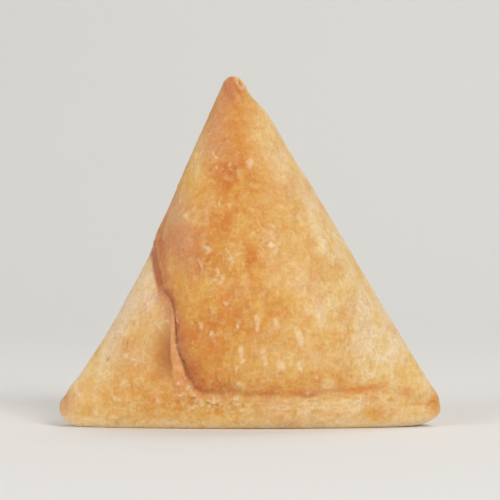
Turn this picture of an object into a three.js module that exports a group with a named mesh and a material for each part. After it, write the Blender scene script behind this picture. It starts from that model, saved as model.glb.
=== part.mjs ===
// A fried pastry pocket (samosa) that stands on its base with its tip up.
//
// One sheet of dough is rolled into a cone, filled, and pinched shut along the base. The body is a
// plump wedge: triangular from the front, pointed at the two base corners, thick at the bottom and
// thin at the tip. A fold line runs down the left edge, comes round to the front, and turns along
// the bottom: the outer layer of dough bulges over it, and the under layer shows as the pale corner
// panel on the left and as the pinched rim along the base. A pleat closes the middle of the back.
//
// Millimetres, +Z up, front towards -Y, origin under the middle of the bounding box.
import * as THREE from "three";

// Driving dimensions.
const WIDTH = 90; // across the two base corners
const HEIGHT = 83; // base to tip
const DEPTH = 46; // front bulge to back bulge
const DOUGH = 2.2; // thickness of one layer of dough

// Rounding of the base edge and of the tip.
const BASE_ROUND = 4; // height of the rounded edge round the base
const LEFT_INSET = 5.5; // how far the rounding pulls in the left corner
const RIGHT_INSET = 9.5; // and the right corner, which curls up more
const FRONT_INSET = 2.4; // and the rim at the front
const BACK_INSET = 4.5; // and the belly at the back
const TIP_ROUND = 1.6;

// Mesh density.
const COLUMNS = [42, 20, 32]; // front fold to right edge, on to the back pleat, and on to the fold
const RING = COLUMNS.reduce((sum, count) => sum + count, 0); // points in one ring
const ROWS = 40;
const ROUND_STEPS = 4;
const FLOOR_RINGS = [0.34, 0.68]; // shares of the base outline, inside it

// How the mesh crowds towards lines on the body: by how much, and from how many millimetres away.
const NEAR_FOLD = { strength: 3.5, reach: 5 };
const NEAR_EDGE = { strength: 1.5, reach: 4 };
const NEAR_PLEAT = { strength: 1.5, reach: 5 };
const NEAR_CREASE = { strength: 2.2, reach: 4 };
const BEND_REACH = 5; // rings bend to follow the rim's crease within this height of it

// The outline seen from the front, as [share of HEIGHT, share of WIDTH].
const LEFT_EDGE = curveThrough([
  [0, -0.497], [0.05, -0.5], [0.071, -0.4975], [0.085, -0.488], [0.1, -0.479], [0.114, -0.4705],
  [0.155, -0.4415], [0.27, -0.373], [0.385, -0.315], [0.44, -0.288], [0.5, -0.262], [0.55, -0.246],
  [0.6, -0.223], [0.74, -0.17], [0.8, -0.1455], [0.9, -0.1035], [0.95, -0.082], [0.984, -0.069],
  [1, -0.066],
]);
const RIGHT_EDGE = curveThrough([
  [0, 0.497], [0.05, 0.5], [0.09, 0.492], [0.12, 0.474], [0.84, 0.077], [0.88, 0.0545],
  [0.9, 0.041], [0.93, 0.0155], [0.941, 0.0045], [0.955, -0.005], [0.97, -0.0125],
  [0.984, -0.0195], [1, -0.025],
]);

// The outline seen from the side, as shares of DEPTH at a share of HEIGHT: a straight taper from
// base to tip, plus a belly.
const FRONT = (h) => -0.025 - 0.365 * (1 - h) - 0.21 * belly(h, 0.72, 1.75);
const BACK = (h) => 0.1 + 0.36 * (1 - h) + 0.145 * belly(h, 0.55, 1.2);
const EDGE_LINE = (h) => -0.22 + 0.38 * h - 0.12 * h ** 2;
// How the section meets at the edges: 0.5 is an ellipse, 1 a sharp lens.
const EDGE_POWER = (h) => 0.8 - 0.42 * h + 0.12 * h ** 2;

// The front fold's line, as [share of WIDTH, share of HEIGHT, side], with side 1 at the back and
// -1 at the front. It comes down from near the tip behind the left edge and turns to the front.
const DOWN_THE_EDGE = [
  [-0.08, 0.93, 1], [-0.125, 0.8, 1], [-0.174, 0.68, 1], [-0.219, 0.59, 1], [-0.2455, 0.545, 1],
  [-0.255, 0.51, -1], [-0.25, 0.465, -1], [-0.242, 0.428, -1], [-0.229, 0.39, -1],
  [-0.208, 0.357, -1], [-0.1975, 0.31, -1], [-0.193, 0.26, -1], [-0.187, 0.22, -1],
  [-0.173, 0.17, -1], [-0.156, 0.13, -1],
];
// It then runs along the rim to the right corner.
const ALONG_THE_RIM = [
  [-0.14, 0.105, -1], [-0.1, 0.095, -1], [-0.04, 0.093, -1], [0.13, 0.095, -1], [0.3, 0.107, -1],
  [0.36, 0.103, -1], [0.42, 0.083, -1], [0.49, 0.057, -1],
];
const FRONT_FOLD = {
  route: [...DOWN_THE_EDGE, ...ALONG_THE_RIM],
  // Each is [share of the route's length, multiple of DOUGH].
  roll: curveThrough([
    [0, 0], [0.3, 0], [0.36, 0.25], [0.45, 0.5], [0.52, 0.9], [0.57, 1.3], [0.64, 0.9], [0.75, 0.4],
    [0.9, 0.1], [1, 0],
  ]),
  rollReach: 1.1,
  drop: curveThrough([
    [0, 0], [0.1, 0.7], [0.27, 0.9], [0.35, 1.2], [0.42, 0.8], [0.52, 0.7], [0.6, 0.4], [0.75, 0.2],
    [1, 0],
  ]),
  dropReach: 3,
  lip: curveThrough([[0.38, 0], [0.44, 0.2], [0.53, 0.4], [0.56, 0.25], [0.59, 0]]),
  lipReach: curveThrough([[0.4, 0.36], [0.48, 0.45], [0.56, 0.75]]),
  cut: curveThrough([
    [0.3, 0], [0.4, 0.25], [0.52, 0.3], [0.6, 0.2], [0.7, 0.2], [0.9, 0.1], [1, 0],
  ]),
  wall: curveThrough([[0, 0.4], [0.28, 0.5], [0.34, 0.6], [0.41, 0.2], [0.53, 0.2], [0.6, 0.4], [1, 0.3]]),
};

// The pleat that closes the back, from the base up.
const BACK_PLEAT = {
  route: [[0.1, 0.02, 1], [0.075, 0.12, 1], [0.035, 0.24, 1], [0.015, 0.36, 1], [0.03, 0.5, 1]],
  roll: curveThrough([[0, 1.3], [0.4, 1.1], [1, 0]]),
  rollReach: 1.5,
  drop: curveThrough([[0, 1.2], [0.4, 0.9], [1, 0]]),
  dropReach: 3.4,
  lip: () => 0,
  lipReach: () => 1,
  cut: curveThrough([[0, 0.5], [0.5, 0.4], [1, 0]]),
  wall: () => 0.3,
};

// Lines that the mesh follows: turns of the fold and the pleat at a height, and the rim's crease.
// Where the fold slants round the edge, the mesh takes every fourth point of its route.
const FOLD_TURN = routeTurn(DOWN_THE_EDGE.filter((_, i) => i % 4 === 1));
const PLEAT_TURN = routeTurn(BACK_PLEAT.route);
const RIM_CREASE = curveThrough(ALONG_THE_RIM);
const CREASE = 0.094 * HEIGHT; // the crease's usual height

const CUT_REACH = 0.35; // of a fold's crack, as a multiple of DOUGH
const LIP_OFFSET = 1.2; // middle of the under layer's raised lip, as a multiple of its own reach
const FLOOR_FADE = 3; // folds die out this close to the floor, so that the base stays flat

// A hump between 0 and 1 that peaks where h to the power lean is a half.
function belly(h, lean, sharpness) {
  return Math.sin(Math.PI * h ** lean) ** sharpness;
}

// A bell curve that is 1 at no distance.
function near(distance, reach) {
  return Math.exp(-((distance / reach) ** 2));
}

// A smooth curve through [at, value] points that doesn't overshoot them.
function curveThrough(points) {
  const slopes = points.slice(1).map(([x, y], i) => (y - points[i][1]) / (x - points[i][0]));
  const tangents = points.map((_, i) => {
    const before = slopes[Math.max(i - 1, 0)];
    const after = slopes[Math.min(i, slopes.length - 1)];
    return before * after <= 0 ? 0 : (2 * before * after) / (before + after);
  });
  return (x) => {
    const past = points.findIndex(([end]) => x < end);
    if (past === 0) return points[0][1];
    if (past < 0) return points[points.length - 1][1];
    const [[x0, y0], [x1, y1]] = [points[past - 1], points[past]];
    const span = x1 - x0;
    const t = (x - x0) / span;
    const rise = y1 - y0;
    const bend0 = tangents[past - 1] * span - rise;
    const bend1 = rise - tangents[past] * span;
    return y0 + rise * t + t * (1 - t) * (bend0 * (1 - t) + bend1 * t);
  };
}

// The body's horizontal section at a height, before rounding and folds.
function sectionAt(z) {
  const share = z / HEIGHT;
  const left = LEFT_EDGE(share) * WIDTH;
  const right = RIGHT_EDGE(share) * WIDTH;
  const edge = EDGE_LINE(share) * DEPTH;
  return {
    middle: (left + right) / 2,
    halfWidth: (right - left) / 2,
    edge,
    front: edge - FRONT(share) * DEPTH,
    back: BACK(share) * DEPTH - edge,
    power: EDGE_POWER(share),
  };
}

// How much the section shrinks at a height: near the base by insets, near the tip as a dome.
function rounding(z) {
  const low = Math.min(z / BASE_ROUND, 1);
  const inset = 1 - Math.sqrt(1 - (1 - low) ** 2);
  const high = Math.max((z - HEIGHT + TIP_ROUND) / TIP_ROUND, 0);
  return { inset, dome: Math.sqrt(Math.max(1 - high ** 2, 0)) };
}

// A point of the body. turn 0 is the right edge, a quarter turn the back, a half turn the left.
function bodyPoint(turn, z) {
  const s = sectionAt(z);
  const { inset, dome } = rounding(z);
  const sideInset = Math.cos(turn) < 0 ? LEFT_INSET : RIGHT_INSET;
  const across = (s.halfWidth - inset * sideInset) * dome;
  const through = Math.sin(turn) < 0 ? -(s.front - inset * FRONT_INSET) : s.back - inset * BACK_INSET;
  return new THREE.Vector3(
    s.middle + across * Math.cos(turn),
    s.edge + through * dome * Math.abs(Math.sin(turn)) ** (2 * s.power),
    z,
  );
}

// The turn at which the body has a given x at a height, on the given side.
function turnAt(x, z, side) {
  const { middle, halfWidth } = sectionAt(z);
  return side * Math.acos(THREE.MathUtils.clamp((x - middle) / halfWidth, -1, 1));
}

// The turn at which the points of a fold's route lie, against their height.
function routeTurn(points) {
  const turns = points.map(([x, height, side]) => {
    const turn = turnAt(x * WIDTH, height * HEIGHT, side);
    return [height, turn < 0 ? turn + 2 * Math.PI : turn];
  });
  return curveThrough(turns.sort(([low], [high]) => low - high));
}

// A fold's line on the body, as a curve and as the samples used to measure distance from it.
function foldLine(fold) {
  const onBody = fold.route.map(([x, height, side]) => {
    const z = height * HEIGHT;
    return bodyPoint(turnAt(x * WIDTH, z, side), z);
  });
  const samples = 160;
  return new THREE.CatmullRomCurve3(onBody, false, "centripetal").getSpacedPoints(samples);
}

// Signed distance from a fold's line, positive on the outer layer's side, and the share along it.
function fromLine(line, point, normal) {
  let best = { distance: Infinity };
  for (let i = 1; i < line.length; i++) {
    const way = line[i].clone().sub(line[i - 1]);
    const from = point.clone().sub(line[i - 1]);
    const t = THREE.MathUtils.clamp(from.dot(way) / way.lengthSq(), 0, 1);
    const off = from.addScaledVector(way, -t);
    if (off.length() < best.distance) {
      best = { distance: off.length(), along: (i - 1 + t) / (line.length - 1), off, way };
    }
  }
  const side = Math.sign(best.way.clone().cross(normal).dot(best.off)) || 1;
  return { distance: -side * best.distance, along: best.along };
}

// How far a fold raises or lowers the surface at a signed distance from its line.
function foldHeight(fold, { distance, along }, edgeFade) {
  const d = distance / DOUGH;
  const outer = -fold.roll(along) * Math.exp(-Math.max(d, 0) / fold.rollReach);
  const dip = fold.drop(along) * edgeFade * Math.exp(-((Math.max(-d, 0) / fold.dropReach) ** 1.5));
  const lip = fold.lip(along) * near(d / fold.lipReach(along) + LIP_OFFSET, 1);
  const wall = fold.wall(along);
  const onOuter = THREE.MathUtils.smoothstep(d, -wall, wall);
  const cut = fold.cut(along) * near(d, CUT_REACH);
  return DOUGH * (onOuter * outer + (1 - onOuter) * (lip - dip) - cut);
}

// count + 1 values from one number to another, spaced so that each step holds the same crowding.
function spaced(from, to, count, crowding) {
  const fine = 600;
  const at = (i) => from + ((to - from) * i) / fine;
  const total = [0];
  for (let i = 0; i < fine; i++) total.push(total[i] + crowding((at(i) + at(i + 1)) / 2));
  const values = [];
  for (let k = 0, i = 0; k <= count; k++) {
    const wanted = (total[fine] * k) / count;
    while (i < fine - 1 && total[i + 1] < wanted) i++;
    values.push(at(i + (wanted - total[i]) / (total[i + 1] - total[i])));
  }
  return values;
}

// Heights of the rings from the floor up, closest together at the rim's crease.
function ringHeights() {
  const crowding = (z) => 1 + NEAR_CREASE.strength * near(z - CREASE, NEAR_CREASE.reach);
  const arc = (i) => Math.sin((Math.PI / 2) * (i / ROUND_STEPS));
  const steps = Array.from({ length: ROUND_STEPS }, (_, i) => i);
  return [
    ...steps.map((i) => BASE_ROUND * (1 - arc(ROUND_STEPS - i))),
    ...spaced(BASE_ROUND, HEIGHT - TIP_ROUND, ROWS, crowding),
    ...steps.slice(1).map((i) => HEIGHT - TIP_ROUND * (1 - arc(i))),
  ];
}

// A ring's height at a point, bent so that the rings near the rim run along its crease.
function bentHeight(turn, z) {
  const { x } = bodyPoint(turn, z);
  const bend = RIM_CREASE(x / WIDTH) * HEIGHT - CREASE;
  const aboveFloor = Math.min(z / BASE_ROUND, 1);
  const atFront = 1 - THREE.MathUtils.smoothstep(Math.sin(turn), 0, 0.5);
  return z + bend * near(z - CREASE, BEND_REACH) * aboveFloor * atFront;
}

// Turns of one ring's points. The first lies on the front fold, and others on the right edge and
// on the back pleat. They crowd towards these lines and towards the left edge.
function ringTurns(z) {
  const fold = FOLD_TURN(z / HEIGHT);
  const rightEdge = 2 * Math.PI;
  const pleat = PLEAT_TURN(z / HEIGHT) + rightEdge;
  const pulls = [
    { at: bodyPoint(fold, z), ...NEAR_FOLD },
    { at: bodyPoint(rightEdge, z), ...NEAR_EDGE },
    { at: bodyPoint(pleat, z), ...NEAR_PLEAT },
    { at: bodyPoint(Math.PI, z), ...NEAR_EDGE },
  ];
  const crowding = (turn) => {
    const step = 0.01;
    const here = bodyPoint(turn, z);
    const stretch = bodyPoint(turn + step, z).distanceTo(bodyPoint(turn - step, z)) / (2 * step);
    const pull = ({ at, strength, reach }) => strength * near(here.distanceTo(at), reach);
    return stretch * pulls.reduce((sum, line) => sum + pull(line), 1);
  };
  const marks = [fold, rightEdge, pleat, fold + 2 * Math.PI];
  const turnsOf = (count, i) => spaced(marks[i], marks[i + 1], count, crowding).slice(0, count);
  return COLUMNS.flatMap(turnsOf);
}

// The smooth body as points: the middle of the base, ring after ring up, then the tip.
function bodyPoints() {
  const sides = ringHeights().map((z) =>
    ringTurns(z).map((turn) => bodyPoint(turn, bentHeight(turn, z))),
  );
  const outline = sides[0];
  const middle = outline.reduce((sum, p) => sum.add(p), new THREE.Vector3()).divideScalar(RING);
  const floor = FLOOR_RINGS.map((share) => outline.map((p) => middle.clone().lerp(p, share)));
  const { middle: tipX, edge: tipY } = sectionAt(HEIGHT);
  return [middle, ...floor.flat(), ...sides.flat(), new THREE.Vector3(tipX, tipY, HEIGHT)];
}

// A closed surface over the points, each square split along its shorter diagonal.
function skin(points) {
  const rings = (points.length - 2) / RING;
  const at = (ring, column) => 1 + ring * RING + (column % RING);
  const faces = [];
  for (let c = 0; c < RING; c++) {
    faces.push(0, at(0, c + 1), at(0, c));
    for (let r = 0; r < rings - 1; r++) {
      const [a, b, d, e] = [at(r, c), at(r, c + 1), at(r + 1, c + 1), at(r + 1, c)];
      const rising = points[a].distanceTo(points[d]) < points[b].distanceTo(points[e]);
      faces.push(...(rising ? [a, b, d, a, d, e] : [a, b, e, b, d, e]));
    }
    faces.push(at(rings - 1, c), at(rings - 1, c + 1), points.length - 1);
  }
  const geometry = new THREE.BufferGeometry().setFromPoints(points);
  geometry.setIndex(faces);
  geometry.computeVertexNormals();
  return geometry;
}

// The body's points with the folds pressed in, along the smooth body's normals.
function pressFolds(points, folds) {
  const normals = skin(points).getAttribute("normal");
  const lines = folds.map(foldLine);
  return points.map((point, i) => {
    const normal = new THREE.Vector3().fromBufferAttribute(normals, i);
    const { middle, halfWidth } = sectionAt(point.z);
    const across = THREE.MathUtils.clamp((point.x - middle) / halfWidth, -1, 1);
    const edgeFade = (1 - across ** 2) ** 0.25;
    const rise = folds.reduce(
      (sum, fold, k) => sum + foldHeight(fold, fromLine(lines[k], point, normal), edgeFade),
      0,
    );
    const fade = THREE.MathUtils.smoothstep(point.z, 0, FLOOR_FADE);
    return point.clone().addScaledVector(normal, rise * fade);
  });
}

const crust = new THREE.MeshStandardMaterial({ color: 0xdca760, roughness: 0.55, metalness: 0 });
const pastry = new THREE.Mesh(skin(pressFolds(bodyPoints(), [FRONT_FOLD, BACK_PLEAT])), crust);
pastry.name = "pastry_pocket";

// Set the middle of the box over the origin.
pastry.geometry.computeBoundingBox();
const centre = pastry.geometry.boundingBox.getCenter(new THREE.Vector3());
pastry.position.set(-centre.x, -centre.y, 0);

const samosa = new THREE.Group();
samosa.add(pastry);

export default samosa;
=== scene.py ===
"""A fried pastry pocket (samosa) that stands on a pale floor in soft studio light.

The crust is one fine mesh with the CAD solid's form. On top comes what only the looks need: lumps,
blisters, flaky streaks, a raised lip beside the fold, and the browning. Lengths in the shape's
functions are in millimetres, and the mesh is made in metres.
"""
import itertools
import math
from types import SimpleNamespace

import bpy
import numpy as np
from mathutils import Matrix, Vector


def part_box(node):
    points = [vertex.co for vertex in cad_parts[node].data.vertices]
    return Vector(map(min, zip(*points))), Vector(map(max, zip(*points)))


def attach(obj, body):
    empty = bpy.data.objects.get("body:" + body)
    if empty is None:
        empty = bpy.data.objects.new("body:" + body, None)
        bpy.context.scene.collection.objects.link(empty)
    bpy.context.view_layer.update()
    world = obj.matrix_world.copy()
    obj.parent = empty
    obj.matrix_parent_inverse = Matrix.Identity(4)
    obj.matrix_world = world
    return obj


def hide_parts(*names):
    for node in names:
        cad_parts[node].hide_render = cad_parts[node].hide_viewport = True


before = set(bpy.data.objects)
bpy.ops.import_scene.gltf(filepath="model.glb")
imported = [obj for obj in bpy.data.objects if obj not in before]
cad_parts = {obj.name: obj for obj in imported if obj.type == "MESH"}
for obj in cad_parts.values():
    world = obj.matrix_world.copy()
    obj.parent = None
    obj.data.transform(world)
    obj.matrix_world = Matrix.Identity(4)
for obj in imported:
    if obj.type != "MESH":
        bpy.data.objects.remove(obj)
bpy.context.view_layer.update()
LOW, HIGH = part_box("pastry_pocket")

MM = 0.001
WIDTH, DEPTH, HEIGHT = ((high - low) / MM for low, high in zip(LOW, HIGH))
DOUGH = 2.2  # thickness of one layer of dough

# Rounding of the base edge and of the tip.
BASE_ROUND = 4.0
LEFT_INSET = 5.5
RIGHT_INSET = 9.5
FRONT_INSET = 2.4
BACK_INSET = 4.5
TIP_ROUND = 1.6

# The mesh: points from the front fold to the right edge, to the back pleat and to the fold again,
# and rings from the floor to the tip.
COLUMNS = (210, 70, 140)
ROWS = 214
ROUND_STEPS = 8
FLOOR_SHARES = (0.25, 0.5, 0.75, 0.9, 0.97)


def find_span(at, x):
    """The number of the point after each x, its span's width, and how far x is along it."""
    i = np.clip(np.searchsorted(at, x, side="right"), 1, len(at) - 1)
    span = at[i] - at[i - 1]
    return i, span, (x - at[i - 1]) / span


def bent(start, end, slope0, slope1, t):
    """A smooth way from start to end with those slopes at its ends, at t from 0 to 1."""
    rise = end - start
    return start + rise * t + t * (1 - t) * ((slope0 - rise) * (1 - t) + (rise - slope1) * t)


def curve(*points):
    """A smooth curve through (at, value) points that doesn't overshoot them."""
    at, value = np.array(points, float).T
    slope = np.diff(value) / np.diff(at)
    before = np.append(slope[0], slope)
    after = np.append(slope, slope[-1])
    same_way = before * after > 0
    total = np.where(same_way, before + after, 1)
    tangent = np.where(same_way, 2 * before * after / total, 0)

    def evaluate(x):
        i, span, t = find_span(at, np.clip(x, at[0], at[-1]))
        return bent(value[i - 1], value[i], tangent[i - 1] * span, tangent[i] * span, t)

    return evaluate


def near(distance, reach):
    """A bell curve that is 1 at no distance."""
    return np.exp(-((distance / reach) ** 2))


def step(x, start, end):
    """0 up to start, 1 from end, and smooth between them."""
    t = np.clip((x - start) / (end - start), 0, 1)
    return t * t * (3 - 2 * t)


def within(x, start, full, fade, end):
    """1 from full to fade, 0 up to start and from end, and smooth between them."""
    return step(x, start, full) * (1 - step(x, fade, end))


def belly(h, lean, sharpness):
    """A hump between 0 and 1 that peaks where h to the power lean is a half."""
    return np.sin(math.pi * np.clip(h, 0, 1) ** lean) ** sharpness


# The outline seen from the front, as (share of HEIGHT, share of WIDTH).
LEFT_EDGE = curve(
    (0, -0.497), (0.05, -0.5), (0.071, -0.4975), (0.085, -0.488), (0.1, -0.479), (0.114, -0.4705),
    (0.155, -0.4415), (0.27, -0.373), (0.385, -0.315), (0.44, -0.288), (0.5, -0.262), (0.55, -0.246),
    (0.6, -0.223), (0.74, -0.17), (0.8, -0.1455), (0.9, -0.1035), (0.95, -0.082), (0.984, -0.069),
    (1, -0.066),
)
RIGHT_EDGE = curve(
    (0, 0.497), (0.05, 0.5), (0.09, 0.492), (0.12, 0.474), (0.84, 0.077), (0.88, 0.0545), (0.9, 0.041),
    (0.93, 0.0155), (0.941, 0.0045), (0.955, -0.005), (0.97, -0.0125), (0.984, -0.0195), (1, -0.025),
)


def section(z):
    """The body's horizontal section at a height, before rounding and folds."""
    h = z / HEIGHT
    left = LEFT_EDGE(h) * WIDTH
    right = RIGHT_EDGE(h) * WIDTH
    edge = (-0.22 + 0.38 * h - 0.12 * h**2) * DEPTH
    return {
        "middle": (left + right) / 2,
        "half_width": (right - left) / 2,
        "edge": edge,
        "front": edge + (0.025 + 0.365 * (1 - h) + 0.21 * belly(h, 0.72, 1.75)) * DEPTH,
        "back": (0.1 + 0.36 * (1 - h) + 0.145 * belly(h, 0.55, 1.2)) * DEPTH - edge,
        "power": 0.8 - 0.42 * h + 0.12 * h**2,
    }


def body(turn, z):
    """Points of the body. turn 0 is the right edge, a quarter turn the back, a half turn the left."""
    s = section(z)
    low = np.minimum(z / BASE_ROUND, 1)
    inset = 1 - np.sqrt(1 - (1 - low) ** 2)
    high = np.maximum((z - HEIGHT + TIP_ROUND) / TIP_ROUND, 0)
    dome = np.sqrt(np.maximum(1 - high**2, 0))
    side_inset = np.where(np.cos(turn) < 0, LEFT_INSET, RIGHT_INSET)
    across = (s["half_width"] - inset * side_inset) * dome
    front = -(s["front"] - inset * FRONT_INSET)
    back = s["back"] - inset * BACK_INSET
    through = np.where(np.sin(turn) < 0, front, back) * dome
    x = s["middle"] + across * np.cos(turn)
    y = s["edge"] + through * np.abs(np.sin(turn)) ** (2 * s["power"])
    return np.stack([x, y, z + 0 * x], axis=-1)


def turn_at(x, z, side):
    """The turn at which the body has an x at a height, on a side."""
    s = section(z)
    turn = side * np.arccos(np.clip((x - s["middle"]) / s["half_width"], -1, 1))
    return np.where(turn < 0, turn + 2 * math.pi, turn)


# The front fold's line, as (share of WIDTH, share of HEIGHT, side), with side 1 at the back and -1
# at the front. It comes down from near the tip behind the left edge and turns to the front.
DOWN_THE_EDGE = [
    (-0.08, 0.93, 1), (-0.125, 0.8, 1), (-0.174, 0.68, 1), (-0.219, 0.59, 1), (-0.2455, 0.545, 1),
    (-0.255, 0.51, -1), (-0.25, 0.465, -1), (-0.242, 0.428, -1), (-0.229, 0.39, -1),
    (-0.208, 0.357, -1), (-0.1975, 0.31, -1), (-0.193, 0.26, -1), (-0.187, 0.22, -1),
    (-0.173, 0.17, -1), (-0.156, 0.13, -1),
]
# It then runs along the rim to the right corner.
ALONG_THE_RIM = [
    (-0.14, 0.105, -1), (-0.1, 0.095, -1), (-0.04, 0.093, -1), (0.13, 0.095, -1), (0.3, 0.107, -1),
    (0.36, 0.103, -1), (0.42, 0.083, -1), (0.49, 0.057, -1),
]
BACK_PLEAT = [(0.1, 0.02, 1), (0.075, 0.12, 1), (0.035, 0.24, 1), (0.015, 0.36, 1), (0.03, 0.5, 1)]


def route_turn(route):
    """The turn of a route's points against their share of the height."""
    points = sorted((h, float(turn_at(x * WIDTH, h * HEIGHT, side))) for x, h, side in route)
    return curve(*points)


FOLD_TURN = route_turn(DOWN_THE_EDGE[1::4])
PLEAT_TURN = route_turn(BACK_PLEAT)
EDGE_SHARE = curve(*sorted((h, x) for x, h, side in DOWN_THE_EDGE[5:]))  # the fold's x, by height
RIM_CREASE = curve(*((x, h) for x, h, side in ALONG_THE_RIM))
CREASE = 0.094 * HEIGHT  # the crease's usual height


# --- the smooth body's grid ---


def spaced(start, end, count, crowding):
    """count + 1 values from start to end, closest where the crowding is largest."""
    fine = np.linspace(start, end, 601)
    weight = crowding((fine[1:] + fine[:-1]) / 2)
    total = np.append(0, np.cumsum(weight))
    return np.interp(np.linspace(0, total[-1], count + 1), total, fine)


def ring_heights():
    """Heights of the rings, closest together at the rim's crease."""
    rise = np.sin(np.linspace(0, math.pi / 2, ROUND_STEPS + 1))
    rows = spaced(BASE_ROUND, HEIGHT - TIP_ROUND, ROWS, lambda z: 1 + 1.4 * near(z - CREASE, 5))
    base = BASE_ROUND * (1 - rise[:0:-1])
    tip = HEIGHT - TIP_ROUND * (1 - rise[1:-1])
    return np.concatenate([base, rows, tip])


def ring_turns(z):
    """Turns of one ring's points, closest together at the fold, the edges and the pleat."""
    fold = float(FOLD_TURN(z / HEIGHT))
    right = 2 * math.pi
    pleat = float(PLEAT_TURN(z / HEIGHT)) + right
    lines = ((fold, 1.6, 5), (right, 0.6, 4), (pleat, 0.6, 5), (math.pi, 0.6, 4))

    def crowding(turn):
        here = body(turn, z)
        stretch = np.linalg.norm(body(turn + 0.01, z) - body(turn - 0.01, z), axis=-1)
        pull = 1
        for at, strength, reach in lines:
            pull += strength * near(np.linalg.norm(here - body(at, z), axis=-1), reach)
        return stretch * pull

    marks = (fold, right, pleat, fold + right)
    spans = zip(marks, marks[1:], COLUMNS)
    return np.concatenate([spaced(a, b, count, crowding)[:-1] for a, b, count in spans])


def bent_heights(turns, z):
    """A ring's heights, bent so that the rings near the rim run along its crease."""
    bend = RIM_CREASE(body(turns, z)[:, 0] / WIDTH) * HEIGHT - CREASE
    at_front = 1 - step(np.sin(turns), 0, 0.5)
    return z + bend * near(z - CREASE, 5) * min(z / BASE_ROUND, 1) * at_front


def body_grid():
    rings = []
    for z in ring_heights():
        turns = ring_turns(z)
        rings.append(body(turns, bent_heights(turns, z)))
    return np.array(rings)


def grid_normals(grid):
    """Outward normals of a grid of rings."""
    around = np.roll(grid, -1, axis=1) - np.roll(grid, 1, axis=1)
    up = np.gradient(grid, axis=0)
    normal = np.cross(around, up)
    return normal / np.linalg.norm(normal, axis=-1, keepdims=True)


# --- seeded noise ---


CELL_SHIFT = 1000  # keeps the numbers of all cells above zero


def dice(cells, seed):
    """A fixed random number between 0 and 1 for each whole-numbered cell."""
    x, y, z = (cells[..., i].astype(np.uint64) for i in range(3))
    mix = x * np.uint64(73856093) ^ y * np.uint64(19349663) ^ z * np.uint64(83492791)
    mix ^= np.uint64((seed * 2654435761) % 2**32)
    mix = (mix ^ (mix >> np.uint64(13))) * np.uint64(1274126177)
    mix ^= mix >> np.uint64(16)
    return (mix & np.uint64(0xFFFFFF)).astype(float) / 0xFFFFFF


def noise(points, size, seed):
    """Smooth noise between -1 and 1, with lumps about size across."""
    cell = points / size + CELL_SHIFT
    base = np.floor(cell)
    t = cell - base
    t = t * t * (3 - 2 * t)
    total = 0
    for corner in itertools.product((0, 1), repeat=3):
        weight = np.prod(np.where(corner, t, 1 - t), axis=-1)
        total += weight * dice(base + corner, seed)
    return 2 * total - 1


def layered(points, size, seed, layers=3):
    """Noise of sizes that halve, each half as strong as the one before."""
    total = sum(noise(points, size / 2**i, seed + i) / 2**i for i in range(layers))
    return total / (2 - 2.0 ** (1 - layers))


def drift(points, size, seeds, layers=1):
    """Noise in each of the three directions."""
    return np.stack([layered(points, size, seed, layers) for seed in seeds], axis=-1)


def blisters(points, size, seed, share):
    """Round domes from 0 to 1, one to a cell, in that share of the cells."""
    cell = points / size + CELL_SHIFT
    base = np.floor(cell)
    best = np.zeros(points.shape[:-1])
    for offset in itertools.product((-1, 0, 1), repeat=3):
        home = base + offset
        centre = home + np.stack([dice(home, seed + i) for i in range(3)], axis=-1)
        radius = 0.25 + 0.4 * dice(home, seed + 3)
        there = dice(home, seed + 4) < share
        gap = np.linalg.norm(cell - centre, axis=-1) / radius
        best = np.maximum(best, np.where(there, np.clip(1 - gap**2, 0, 1), 0) * radius / 0.65)
    return best


# --- folds ---


def lengths(points):
    """The length of a line of points up to each of them."""
    return np.append(0, np.cumsum(np.linalg.norm(np.diff(points, axis=0), axis=1)))


SAMPLES = 240  # points along a smooth line


def smooth_line(points):
    """Even samples of a smooth curve through points."""
    at = lengths(points)
    tangent = np.gradient(points, at, axis=0)
    i, span, t = find_span(at, np.linspace(0, at[-1], 8 * SAMPLES))
    span, t = span[:, None], t[:, None]
    dense = bent(points[i - 1], points[i], tangent[i - 1] * span, tangent[i] * span, t)
    length = lengths(dense)
    even = np.linspace(0, length[-1], SAMPLES)
    return np.stack([np.interp(even, length, dense[:, k]) for k in range(3)], axis=1)


def fold_line(route):
    points = [body(turn_at(x * WIDTH, h * HEIGHT, side), h * HEIGHT) for x, h, side in route]
    return smooth_line(np.array(points))


PARTS = 24  # from_line works on its points in this many parts, to need less memory


def from_line(line, points, normals):
    """Signed distance from a line, positive on the outer layer's side, and the share along it."""
    flat, flat_normals = points.reshape(-1, 3), normals.reshape(-1, 3)
    way = np.diff(line, axis=0)
    squared = np.sum(way**2, axis=1)
    distance, along = np.empty(len(flat)), np.empty(len(flat))
    for part in np.array_split(np.arange(len(flat)), PARTS):
        start = flat[part][:, None] - line[:-1]
        t = np.clip(np.sum(start * way, axis=2) / squared, 0, 1)
        off = start - t[..., None] * way
        length = np.linalg.norm(off, axis=2)
        best = np.argmin(length, axis=1)
        row = np.arange(len(part))
        side = np.sum(np.cross(way[best], flat_normals[part]) * off[row, best], axis=1)
        distance[part] = -np.where(side < 0, -1, 1) * length[row, best]
        along[part] = (best + t[row, best]) / len(way)
    return distance.reshape(points.shape[:-1]), along.reshape(points.shape[:-1])


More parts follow.
